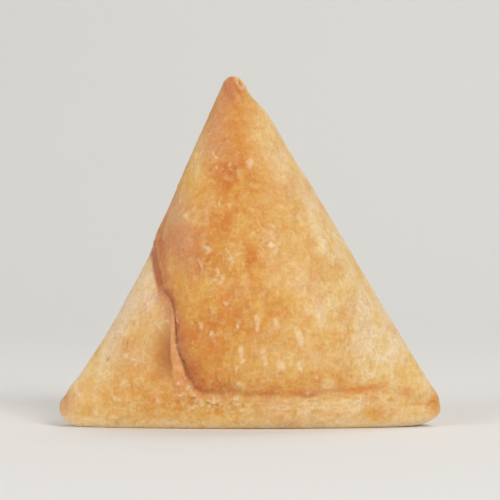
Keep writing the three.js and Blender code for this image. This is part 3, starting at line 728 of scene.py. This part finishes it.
def crack_shade_paint(grid, d, along):
    """Painted shade in the crack beside the lip, with dark dots of painted shade along its lower part."""
    z = grid[..., 2]
    crack = near(d - 0.1, 0.3) * within(along, 0.42, 0.45, 0.54, 0.565)
    crack *= step(noise(grid, 0.9, 16), -0.7, -0.1)
    crack *= (1 - 0.6 * near(z - 25, 1.6)) * (1 - 0.4 * near(z - 15.8, 1.2))
    dots = near(d - 0.5, 0.4) * within(along, 0.47, 0.5, 0.53, 0.555)
    return crack + dots * step(noise(grid, 0.7, 25), 0.1, 0.5)


def reddened_and_shaded_foot(grid, d, along):
    """The outer layer's foot down the fold and along the crease: reddened dough, partly painted shade on
    its wall and under the bulge.
    """
    rim = step(along, 0.5, 0.6)
    foot = step(d, -0.3 - 0.9 * rim, 0.1 + 0.6 * rim)
    reddened_and_shaded = near(np.maximum(d - 0.2, 0), RED_WIDTH(along)) * foot * step(along, 0.37, 0.41)
    reddened_and_shaded *= (1 - 0.8 * step(along, 0.6, 0.74)) * (0.9 + 0.4 * layered(grid, 2.2, 17))
    reddened_and_shaded *= 1 - 0.6 * rim * step(noise(grid, 3, 20), -0.1, 0.4)
    reddened_and_shaded *= 1 - 0.6 * patch(grid, -11.3, 8.6, 2.2, 0.8)
    return reddened_and_shaded * (1 - 0.35 * near(grid[..., 2] - 17, 2.5))


def fold_paint(grid, d, along, to_left):
    """The colours of the fold's parts, each from 0 to 1, with painted shade beside the lip and along the
    fold line.
    """
    shaded_cut_edge, mauve_and_shade, edge_line, orange = upper_fold_paint(grid, along, to_left)
    beyond = beyond_lip(grid)
    beside_fold = within(along, 0.43, 0.46, 0.555, 0.58)
    lip = step(-d, 0.1, 0.4) * (1 - step(beyond, -0.2, 0.2)) * beside_fold
    beside_crack = BESIDE_CRACK(along) * near(d + 1.3, 2.1) * step(-d, -0.1, 0.4)
    # Painted shade in the gutter to the left of the lip.
    shade = near(np.maximum(beyond, 0), 3.8) * step(beyond, -0.2, 0.2)
    shade *= within(along, 0.43, 0.49, 0.52, 0.56) * step(-d, 0, 0.5)
    # Painted shade along the fold line just above the lip.
    seam_shade = near(d - 0.3, 0.8) * within(along, 0.385, 0.4, 0.42, 0.45)
    return {
        "shaded_cut_edge": shaded_cut_edge,
        "raw": reddened_and_shaded_foot(grid, d, along) + 0.6 * edge_line,
        "crack": crack_shade_paint(grid, d, along),
        "pinkish": 0.5 * mauve_and_shade,
        "flush": 0.35 * mauve_and_shade + 0.8 * beside_crack,
        "lip": lip * (0.95 + 0.4 * noise(grid, 0.8, 18)),
        "shade": 0.9 * shade + 0.9 * seam_shade,
        "orange": orange,
    }


def pressed(grid, normals, along, fold, rise):
    """The grid's points with their relief, which fades out at the base and the tip."""
    z = grid[..., 2]
    # The front fold is pressed mostly straight in, so that it stays in place when seen level.
    sideways = 1 - 0.65 * step(along, 0.24, 0.36) * step(-grid[..., 1], -2, 4)
    press = normals * np.stack([sideways, np.ones_like(sideways), sideways], axis=-1)
    fade = step(z, 0, 3) * (1 - 0.85 * step(z, HEIGHT - 2.5, HEIGHT))
    return grid + press * (fold * fade)[..., None] + normals * (rise * fade)[..., None]


def crust_surface():
    """The crust's points in millimetres, and its paint as a number for each."""
    grid = body_grid()
    normals = grid_normals(grid)
    fold, d, along = front_fold(grid, normals)
    pleat, pleat_line = back_pleat(grid, normals)
    skin_rise, skin_paint = skin(grid, normals)
    layers = rim_layers(grid, d, along)
    forms, marks = small_forms(grid)
    points = pressed(grid, normals, along, fold, pleat + skin_rise + 0.14 * layers + forms)

    s = section(grid[..., 2])
    to_right = s["middle"] + s["half_width"] - grid[..., 0]
    to_left = grid[..., 0] - s["middle"] + s["half_width"]
    folded = fold_paint(grid, d, along, to_left)
    orange = patches(grid + 0.35 * noise(grid, 1.5, 99)[..., None], ORANGE)
    paint = {
        **folded,
        **skin_paint,
        "browning": browning(grid, normals, d, to_left, to_right),
        "flush": patches(grid, FLUSHED) + folded["flush"],
        "pinkish": patches(grid, PINKISH) + folded["pinkish"],
        "yellowed": patches(grid, YELLOWED),
        "orange": orange + 0.5 * marks["ring"] + folded["orange"],
        # Painted shade: the tip valley's dark line in raw, and the crumb gaps and the tip's pit in shade.
        "raw": folded["raw"] + 0.6 * pleat_line + 0.4 * marks["valley"],
        "shade": folded["shade"] + 0.65 * marks["gaps"] + 0.8 * marks["pit"] + patches(grid, SPECKS_AND_SHADOWS),
        "flaky": 0.6 * layers + 1.1 * marks["crumbs"],
    }
    return points, {name: np.clip(values, 0, 1) for name, values in paint.items()}


def smooth_mesh(name, vertices, faces):
    mesh = bpy.data.meshes.new(name)
    mesh.from_pydata(vertices, [], faces)
    mesh.polygons.foreach_set("use_smooth", [True] * len(mesh.polygons))
    return mesh


def crust_mesh(points, paint):
    """One closed mesh over the rings, with a flat floor and a fan at each end."""
    rings, ring = points.shape[:2]
    outline = points[0]
    middle = outline.mean(axis=0)
    floor = [middle + (outline - middle) * share for share in FLOOR_SHARES]
    tip = points[-1].mean(axis=0) + (0, 0, 0.15)
    vertices = np.concatenate([[middle], *floor, points.reshape(-1, 3), [tip]])
    low, high = vertices.min(axis=0), vertices.max(axis=0)
    centre = (low + high) / 2
    vertices = (vertices - (centre[0], centre[1], 0)) * MM
    levels = rings + len(floor)
    number = 1 + np.arange(levels * ring).reshape(levels, ring)
    after = np.roll(number, -1, axis=1)
    quads = np.stack([number[:-1], after[:-1], after[1:], number[1:]], axis=-1).reshape(-1, 4)
    faces = quads.tolist()
    faces += [[0, b, a] for a, b in zip(number[0].tolist(), after[0].tolist())]
    last = len(vertices) - 1
    faces += [[a, b, last] for a, b in zip(number[-1].tolist(), after[-1].tolist())]
    mesh = smooth_mesh("pastry_crust", vertices.tolist(), faces)
    for name, values in paint.items():
        under = np.repeat(values[0].mean(), 1 + len(floor) * ring)
        spread = np.concatenate([under, values.ravel(), [values[-1].mean()]])
        layer = mesh.attributes.new(name, "FLOAT", "POINT")
        layer.data.foreach_set("value", spread.astype(np.float32))
    mesh.update()
    return mesh


# --- materials ---


def colour(*values):
    """A linear colour from red, green and blue, each from 11 to 255."""
    return *(((value / 255 + 0.055) / 1.055) ** 2.4 for value in values), 1


class Value:
    """A node's output. Sums, differences and products of Values add Math nodes."""

    def __init__(self, nodes, socket):
        self.nodes = nodes
        self.socket = socket

    def __add__(self, other):
        return self.nodes.maths("ADD", self, other)

    def __sub__(self, other):
        return self.nodes.maths("SUBTRACT", self, other)

    def __rsub__(self, other):
        return self.nodes.maths("SUBTRACT", other, self)

    def __mul__(self, other):
        return self.nodes.maths("MULTIPLY", self, other)

    __radd__ = __add__
    __rmul__ = __mul__


class Nodes:
    """Adds nodes to a material and joins them. Sizes and reaches are in millimetres."""

    def __init__(self, name):
        self.material = bpy.data.materials.new(name)
        self.material.use_nodes = True
        self.tree = self.material.node_tree
        self.shader = self.tree.nodes["Principled BSDF"]

    def fill(self, node, inputs):
        for key, value in dict(inputs).items():
            if isinstance(value, Value):
                self.tree.links.new(value.socket, node.inputs[key])
            else:
                node.inputs[key].default_value = value

    def add(self, kind, inputs=(), **settings):
        node = self.tree.nodes.new("ShaderNode" + kind)
        for key, value in settings.items():
            setattr(node, key, value)
        self.fill(node, inputs)
        return node

    def value(self, kind, output, inputs=(), **settings):
        return Value(self, self.add(kind, inputs, **settings).outputs[output])

    def attribute(self, name):
        return self.value("Attribute", "Fac", attribute_name=name)

    def maths(self, operation, a, b):
        return self.value("Math", 0, {0: a, 1: b}, operation=operation)

    def vector(self, operation, a, b):
        return self.value("VectorMath", 0, {0: a, 1: b}, operation=operation)

    def ease(self, value, start, end):
        """0 up to start, 1 from end, and smooth between them."""
        inputs = {"Value": value, "From Min": start, "From Max": end}
        return self.value("MapRange", 0, inputs, interpolation_type="SMOOTHSTEP")

    def paint(self, under, factor, strength, tint):
        """A colour under another one, which covers it by a factor times a strength."""
        inputs = {0: factor * strength, 6: under, 7: colour(*tint)}
        return self.value("Mix", 2, inputs, data_type="RGBA")

    def noise(self, place, size, detail=3.0, roughness=0.55, output="Fac"):
        """Noise of a size, from 0 to 1."""
        inputs = {"Vector": place, "Scale": 1 / (size * MM), "Detail": detail, "Roughness": roughness}
        return self.value("TexNoise", output, inputs)

    def bend(self, place, size, reach):
        """Places moved about by noise of a size, by up to half the reach."""
        sway = self.vector("SUBTRACT", self.noise(place, size, 3.0, 0.5, "Color"), (0.5, 0.5, 0.5))
        return self.vector("ADD", place, self.vector("MULTIPLY", sway, (reach * MM,) * 3))

    def cells(self, place, size, inputs=(), **settings):
        """The distance to the middle of a cell, and two random numbers that the cell holds."""
        inputs = {"Vector": place, "Scale": 1 / (size * MM), **dict(inputs)}
        cell = self.add("TexVoronoi", inputs, **settings)
        drawn = self.add("SeparateColor", {"Color": Value(self, cell.outputs["Color"])})
        return [Value(self, socket) for socket in (cell.outputs["Distance"], *drawn.outputs[:2])]

    def spots(self, place, size, share, inner, outer):
        """Soft spots, one to a cell, in that share of the cells."""
        distance, drawn = self.cells(place, size)[:2]
        return self.ease(distance, outer, inner) * self.ease(drawn, share + 0.1, share - 0.1)

    def ramp(self, value, stops):
        node = self.add("ValToRGB", {"Fac": value})
        elements = node.color_ramp.elements
        while len(elements) < len(stops):
            elements.new(0.5)
        for element, (position, tint) in zip(elements, stops):
            element.position = position
            element.color = colour(*tint)
        return Value(self, node.outputs["Color"])


# The dough's colours from pale to deep golden, as (tone, colour).
FRIED = (
    (0.0, (242, 220, 186)),
    (0.25, (235, 201, 143)),
    (0.5, (223, 169, 93)),
    (0.75, (214, 142, 58)),
    (1.0, (202, 116, 40)),
)
# What the mesh's attributes paint over the dough, in this order, as (attribute, strength, colour).
PAINTED = (
    ("orange", 0.7, (216, 124, 56)),
    # Shade is painted shade beside the lip, in crevices and as soft shadows, and also the brown of small
    # specks.
    ("shade", 0.8, (176, 106, 52)),
    ("flush", 0.75, (192, 104, 68)),
    ("lip", 0.85, (220, 145, 86)),
    # Cut and raw: browned and reddened dough, in part painted shade on the fold's walls and in the tip's
    # valley.
    ("shaded_cut_edge", 0.8, (184, 82, 38)),
    ("raw", 0.82, (181, 90, 60)),
    ("flaky", 0.75, (246, 222, 184)),
    # Painted shade in the crack beside the lip.
    ("crack", 0.75, (138, 68, 36)),
)


def crust_patterns(nodes):
    """The patterns that the crust's colour, gloss and relief share."""
    place = nodes.value("TexCoord", "Object")
    upright = nodes.vector("MULTIPLY", nodes.bend(place, 1.6, 1.3), (1, 1, 0.55))
    flakes = nodes.noise(nodes.bend(place, 1.2, 1.6), 1.8, 3.0, 0.6)
    flaking = nodes.attribute("flaking")
    return SimpleNamespace(
        place=place,
        upright=upright,
        flaking=flaking,
        facing=0.4 + 0.6 * nodes.attribute("facing"),
        blotches=nodes.noise(upright, 3.0, 4.0, 0.6),
        fine=nodes.noise(upright, 0.9, 4.0, 0.65),
        flecks=nodes.spots(upright, 1.5, 0.25, 0.2, 0.45),
        gaps=flaking * nodes.ease(flakes, 0.45, 0.4),
        lifted=flaking * nodes.ease(flakes, 0.55, 0.6),
    )


def crust_tone(nodes, patterns, chip):
    """How far the dough has fried, with its mottling."""
    clouds = nodes.noise(nodes.bend(patterns.place, 4.0, 4.0), 5.0, 4.0, 0.6)
    mottling = patterns.flaking * (0.6 * (patterns.blotches - 0.5) + 0.3 * (chip - 0.5))
    grain = 0.3 * (patterns.fine - 0.5) * patterns.facing
    return nodes.attribute("browning") + mottling + 0.6 * (clouds - 0.5) + grain


def crust_hues(nodes, patterns, chip):
    """What changes the dough's hue, in this order, as (factor, strength, colour)."""
    flaking = patterns.flaking
    hue = nodes.noise(nodes.bend(patterns.place, 3.0, 4.0), 7.0, 4.0, 0.6)
    pinkish = nodes.attribute("pinkish")
    yellow = (1.0 - pinkish) * nodes.ease(hue, 0.46, 0.36) + nodes.attribute("yellowed")
    pale = nodes.attribute("fleck") + 0.7 * (patterns.fine - 0.5)
    return (
        (0.6 * nodes.ease(hue, 0.53, 0.66) + pinkish, 0.5, (218, 161, 122)),
        (yellow, 0.4, (228, 184, 92)),
        (flaking * nodes.spots(patterns.upright, 3.4, 0.25, 0.1, 0.5), 0.4, (214, 130, 50)),
        (patterns.gaps, 0.4, (210, 128, 48)),
        (patterns.lifted, 0.4, (238, 196, 124)),
        (flaking * nodes.ease(chip, 0.68, 0.8), 0.27, (240, 208, 150)),
        (flaking * patterns.flecks, 0.4, (243, 212, 168)),
        (nodes.ease(pale, 0.15, 0.9), 0.6, (244, 216, 174)),
    )


def crust_colour(nodes, patterns):
    """Golden dough with patches of other hues, pale flecks and reddened edges."""
    chips = nodes.cells(nodes.bend(patterns.place, 2.5, 3.0), 1.6, {"Smoothness": 0.3}, feature="SMOOTH_F1")
    dough = nodes.ramp(crust_tone(nodes, patterns, chips[1]), FRIED)
    for factor, strength, tint in crust_hues(nodes, patterns, chips[2]):
        dough = nodes.paint(dough, factor, strength, tint)
    for name, strength, tint in PAINTED:
        dough = nodes.paint(dough, nodes.attribute(name), strength, tint)
    # Light and dark grains change the brightness and not the hue.
    grain = 0.42 * (nodes.noise(patterns.place, 0.9, 3.0, 0.65) - 0.5)
    inputs = {"Color": dough, "Value": 1.0 + grain * patterns.facing}
    return nodes.value("HueSaturation", 0, inputs)


def crust_bump(nodes, patterns):
    """Relief too fine for the mesh."""
    relief = patterns.fine + nodes.noise(patterns.place, 0.7, 2.0)
    relief += 0.8 * patterns.flecks + 0.8 * patterns.lifted
    return nodes.value("Bump", 0, {"Strength": 0.7, "Distance": 0.27 * MM, "Height": relief})


def crust_material():
    """Fried dough: slightly oily, and soft under the light."""
    nodes = Nodes("crust")
    patterns = crust_patterns(nodes)
    gloss = {"Value": patterns.blotches, "To Min": 0.48, "To Max": 0.64}
    looks = {
        "Base Color": crust_colour(nodes, patterns),
        "Roughness": nodes.value("MapRange", 0, gloss),
        "Normal": crust_bump(nodes, patterns),
        "Specular IOR Level": 0.35,
        "Subsurface Weight": 0.12,
        "Subsurface Radius": (1.0, 0.45, 0.2),
        "Subsurface Scale": 1.2 * MM,
    }
    nodes.fill(nodes.shader, looks)
    return nodes.material


# --- the scene ---


def add_object(name, data):
    piece = bpy.data.objects.new(name, data)
    bpy.context.scene.collection.objects.link(piece)
    return piece


def aim(piece, position, target):
    piece.location = position
    piece.rotation_euler = (Vector(target) - Vector(position)).to_track_quat("-Z", "Y").to_euler()


def floor():
    """A pale floor that curves up into the background far behind the pocket."""
    front, back, top, bend = -3.0, 1.3, 1.6, 0.9
    flat = back - bend
    line = [(front, 0.0), (flat, 0.0)]
    for angle in np.linspace(0.1, math.pi / 2, 16):
        line.append((flat + bend * math.sin(angle), bend - bend * math.cos(angle)))
    line += [(back, top)]
    vertices = [(x, y, z) for y, z in line for x in (-2.0, 2.0)]
    faces = [(2 * i, 2 * i + 1, 2 * i + 3, 2 * i + 2) for i in range(len(line) - 1)]
    mesh = smooth_mesh("floor", vertices, faces)
    nodes = Nodes("floor")
    nodes.fill(nodes.shader, {"Base Color": colour(236, 234, 230), "Roughness": 0.9})
    mesh.materials.append(nodes.material)
    piece = add_object("floor", mesh)


def lamp(name, position, target, size, power):
    light = bpy.data.lights.new(name, "AREA")
    light.size = size
    light.energy = power
    aim(add_object(name, light), position, target)


def lights():
    target = (0, 0, 0.04)
    lamp("key", (0.7, -1.03, 0.88), target, 0.6, 11.2)
    lamp("fill", (-1.1, -0.9, 0.5), target, 1.0, 8)
    lamp("back", (0.3, 0.5, 1.3), target, 0.8, 5)
    world = bpy.data.worlds.new("studio")
    world.use_nodes = True
    background = world.node_tree.nodes["Background"].inputs
    background["Color"].default_value = (1, 0.99, 0.97, 1)
    background["Strength"].default_value = 0.28
    bpy.context.scene.world = world


def camera():
    """A long lens, tilted down a little, that looks at the middle of the pocket's front."""
    lens = bpy.data.cameras.new("camera")
    lens.lens = 180
    lens.sensor_width = 36
    frame_width = 118.4 * MM  # at the pocket's front edges
    distance = frame_width * lens.lens / lens.sensor_width
    target = Vector((0, -0.006, 0.0415))
    piece = add_object("camera", lens)
    aim(piece, target + distance * Vector((0, -1, math.sin(math.radians(1)))), target)
    bpy.context.scene.camera = piece


crust = add_object("pastry_crust", crust_mesh(*crust_surface()))
crust.data.materials.append(crust_material())
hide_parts("pastry_pocket")
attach(crust, "root")
floor()
lights()
camera()
bpy.context.scene.view_settings.view_transform = "Standard"

bpy.context.view_layer.update()
